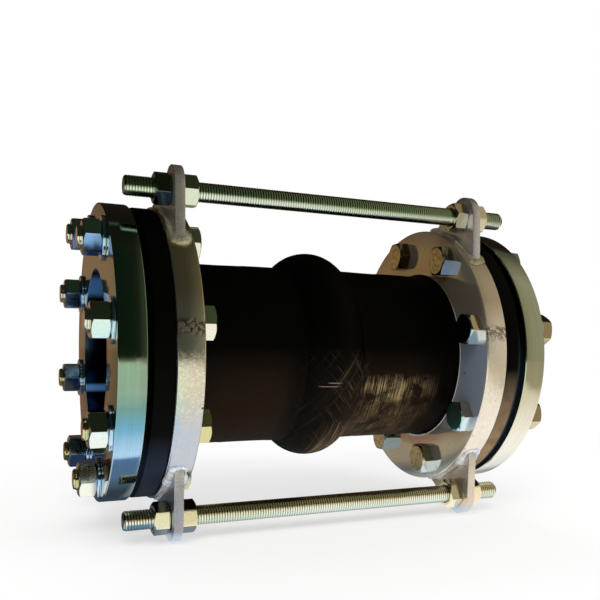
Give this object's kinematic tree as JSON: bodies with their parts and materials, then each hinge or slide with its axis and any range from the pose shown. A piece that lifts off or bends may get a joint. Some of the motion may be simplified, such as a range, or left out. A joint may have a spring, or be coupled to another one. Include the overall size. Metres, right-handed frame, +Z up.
{
  "type": "single sphere rubber joint",
  "caption": "Flexible pipe joint: moulded rubber tube with one spherical bulge between steel flanges, held to length by threaded limit rods through welded ears.",
  "frame": {"origin": "centre of the left mating flange's outer face, on the pipe axis", "axes": "+X along the pipe axis from the left end to the right end, +Z up, with the rear limit rod on +Y"},
  "size_m": [0.476, 0.332, 0.3397],
  "materials": {
    "black_rubber": "cloth-wrapped moulding, semi-matt",
    "zinc_flange_steel": "turned and zinc plated",
    "backing_flange_steel": "coated, slightly pitted",
    "ear_steel": "flame cut plate with weld beads",
    "threaded_rod_steel": "zinc plated thread",
    "nut_steel": "bright zinc plated",
    "bolt_steel": "bright zinc plated",
    "washer_steel": "bright zinc plated"
  },
  "bodies": {
    "left_end": {"rubber_body": "black_rubber", "left_mating_flange": "zinc_flange_steel", "left_backing_flange": "backing_flange_steel", "left_ear_rear": "ear_steel", "left_ear_upper": "ear_steel", "left_ear_lower": "ear_steel", "left_outer_rod_nuts": "nut_steel", "left_inner_rod_nuts": "nut_steel", "left_flange_bolts": "bolt_steel", "left_flange_washers": "washer_steel", "left_flange_nuts": "nut_steel", "tie_rod_rear": "ear_steel", "tie_rod_upper": "threaded_rod_steel", "tie_rod_lower": "threaded_rod_steel"},
    "right_end": {"right_mating_flange": "zinc_flange_steel", "right_backing_flange": "backing_flange_steel", "right_ear_rear": "ear_steel", "right_ear_upper": "ear_steel", "right_ear_lower": "ear_steel", "right_outer_rod_nuts": "nut_steel", "right_inner_rod_nuts": "nut_steel", "right_flange_bolts": "bolt_steel", "right_flange_washers": "washer_steel", "right_flange_nuts": "nut_steel"}
  },
  "joints": [
    {"name": "axial_travel", "type": "slide", "parent": "left_end", "child": "right_end", "axis": [1, 0, 0], "range_m": [-0.018, 0.01], "deforming": ["rubber_body"]}
  ]
}
